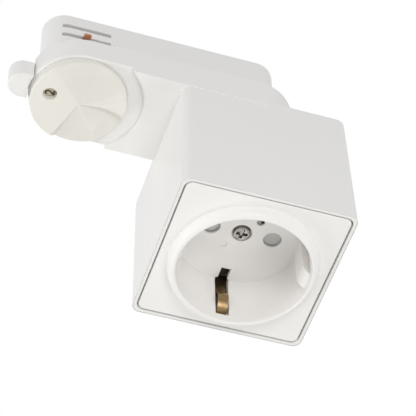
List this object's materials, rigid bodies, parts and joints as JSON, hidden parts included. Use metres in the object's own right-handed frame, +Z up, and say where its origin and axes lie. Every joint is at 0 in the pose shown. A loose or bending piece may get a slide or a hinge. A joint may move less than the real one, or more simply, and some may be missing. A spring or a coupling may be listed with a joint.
{
  "type": "track socket adapter",
  "caption": "White track adapter: a bar with a turning circuit selector and a lock tab under the rail, carrying a square box with an earthed socket outlet that faces down.",
  "frame": {"origin": "on the rail's centre line, on the face that bears on the rail, level with the socket's axis along the rail", "axes": "+X along the rail away from the selector, +Y towards the overhanging side of the box, +Z up into the rail"},
  "size_m": [0.1017, 0.0526, 0.0809],
  "materials": {
    "white_plastic": "fine satin moulded",
    "knob_plastic": "satin moulded",
    "base_plastic": "matt moulded",
    "shutter_plastic": "matt moulded",
    "dial_plastic": "matt with printed numbers",
    "brass": "rolled strip",
    "copper": "rolled strip",
    "screw_steel": "nickel plated",
    "spring_steel": "drawn wire",
    "live_insulation": "extruded",
    "neutral_insulation": "extruded",
    "earth_insulation": "extruded"
  },
  "bodies": {
    "adapter": {"housing": "white_plastic", "track_body": "white_plastic", "socket_plate": "white_plastic", "socket_base": "base_plastic", "centre_screw": "screw_steel", "base_screws": "screw_steel", "shutter_spring": "spring_steel", "live_socket_contact": "brass", "neutral_socket_contact": "brass", "earth_bow": "brass", "terminal_screws": "screw_steel", "number_dial": "dial_plastic", "live_brush": "brass", "neutral_rail_contact": "brass", "earth_rail_contact": "brass", "lock_spring": "spring_steel", "detent_spring": "spring_steel", "body_screws": "screw_steel", "live_wire": "live_insulation", "neutral_wire": "neutral_insulation", "earth_wire": "earth_insulation"},
    "selector": {"selector_knob": "knob_plastic", "contact_rotor": "base_plastic", "phase_contact_1": "copper", "phase_contact_2": "copper", "phase_contact_3": "copper", "slip_ring": "copper"},
    "lock": {"lock_slider": "white_plastic"},
    "bolt": {"lock_bolt": "screw_steel"},
    "shutter": {"shutter": "shutter_plastic"}
  },
  "joints": [
    {"name": "selector_turn", "type": "hinge", "parent": "adapter", "child": "selector", "pos_m": [-0.0538, 0, 0], "axis": [0, 0, 1], "range_deg": [-60, 60]},
    {"name": "lock_slide", "type": "slide", "parent": "adapter", "child": "lock", "axis": [-1, 0, 0], "range_m": [0, 0.004], "stiffness_N_per_m": 400, "springref_m": -0.004, "deforming": ["lock_spring"]},
    {"name": "bolt_slide", "type": "slide", "parent": "adapter", "child": "bolt", "axis": [0, 1, 0], "range_m": [0, 0.002]},
    {"name": "shutter_turn", "type": "hinge", "parent": "adapter", "child": "shutter", "pos_m": [0, 0.0109, -0.0393], "axis": [0, 0, 1], "range_deg": [0, 40], "stiffness_Nm_per_rad": 0.004, "springref_deg": -17.19}
  ],
  "couplings": [
    {"joint": "bolt_slide", "follows": "lock_slide", "ratio": 0.5}
  ]
}
